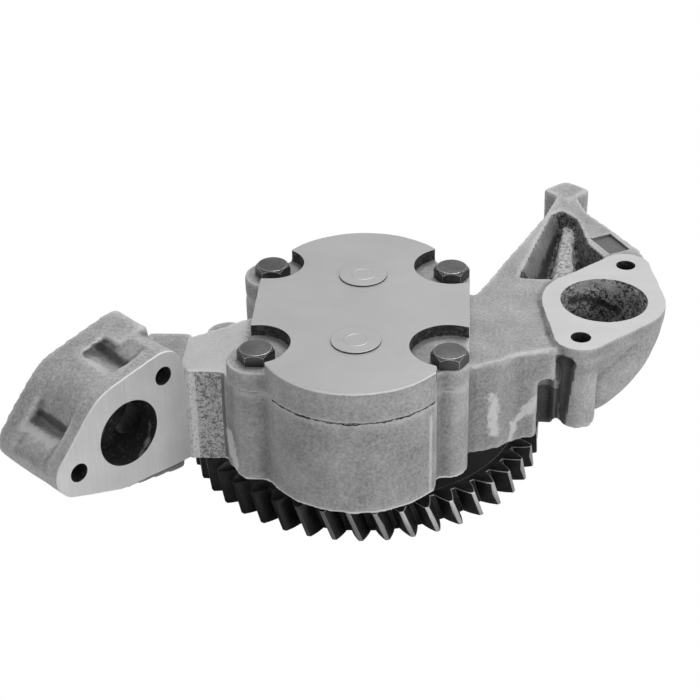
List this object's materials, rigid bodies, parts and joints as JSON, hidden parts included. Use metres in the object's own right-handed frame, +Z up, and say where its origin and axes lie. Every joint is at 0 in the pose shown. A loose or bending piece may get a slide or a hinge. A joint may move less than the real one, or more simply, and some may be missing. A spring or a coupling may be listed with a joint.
{
  "type": "engine oil pump",
  "caption": "Gear oil pump for an engine: cast iron body with two flanged side ports, a flat bolted cover and a mounting bracket, driven from below by a large helical gear.",
  "frame": {"origin": "drive shaft axis at the lower face of the helical drive gear", "axes": "+X points to the inlet side and lies along the longest extent, +Y points to the mounting boss, +Z points up to the cover along the shafts"},
  "size_m": [0.346, 0.2896, 0.105],
  "materials": {
    "cast_iron": "sand-cast skin with machined flange faces",
    "machined_cast_iron": "ground top face, sand-cast sides",
    "bolt_steel": "dark oxide",
    "ground_steel": "ground",
    "plug_steel": "pressed",
    "gear_steel": "hobbed and hardened, dull",
    "bush_bronze": "bored",
    "spring_steel": "drawn wire"
  },
  "bodies": {
    "pump": {"pump_body": "cast_iron", "pump_cover": "machined_cast_iron", "cover_bolts": "bolt_steel", "cover_dowels": "ground_steel", "cover_plugs": "plug_steel", "drive_body_bush": "bush_bronze", "drive_cover_bush": "bush_bronze", "driven_body_bush": "bush_bronze", "driven_cover_bush": "bush_bronze", "relief_valve_plug": "bolt_steel", "relief_valve_spring": "spring_steel"},
    "drive_train": {"drive_shaft": "ground_steel", "driving_pump_gear": "gear_steel", "pump_gear_key": "ground_steel", "drive_gear": "gear_steel", "drive_gear_key": "ground_steel", "drive_gear_washer": "bolt_steel", "drive_gear_nut": "bolt_steel"},
    "driven_train": {"driven_shaft": "ground_steel", "driven_pump_gear": "gear_steel"},
    "relief_piston": {"relief_valve_piston": "ground_steel"}
  },
  "joints": [
    {"name": "drive_spin", "type": "hinge", "parent": "pump", "child": "drive_train", "pos_m": [0, 0, 0], "axis": [0, 0, 1], "continuous": true},
    {"name": "driven_spin", "type": "hinge", "parent": "pump", "child": "driven_train", "pos_m": [0, -0.069, 0], "axis": [0, 0, 1], "continuous": true},
    {"name": "relief_slide", "type": "slide", "parent": "pump", "child": "relief_piston", "axis": [0, 0, -1], "range_m": [0, 0.008], "stiffness_N_per_m": 6000, "springref_m": -0.009, "deforming": ["relief_valve_spring"]}
  ],
  "couplings": [
    {"joint": "driven_spin", "follows": "drive_spin", "ratio": -1}
  ]
}
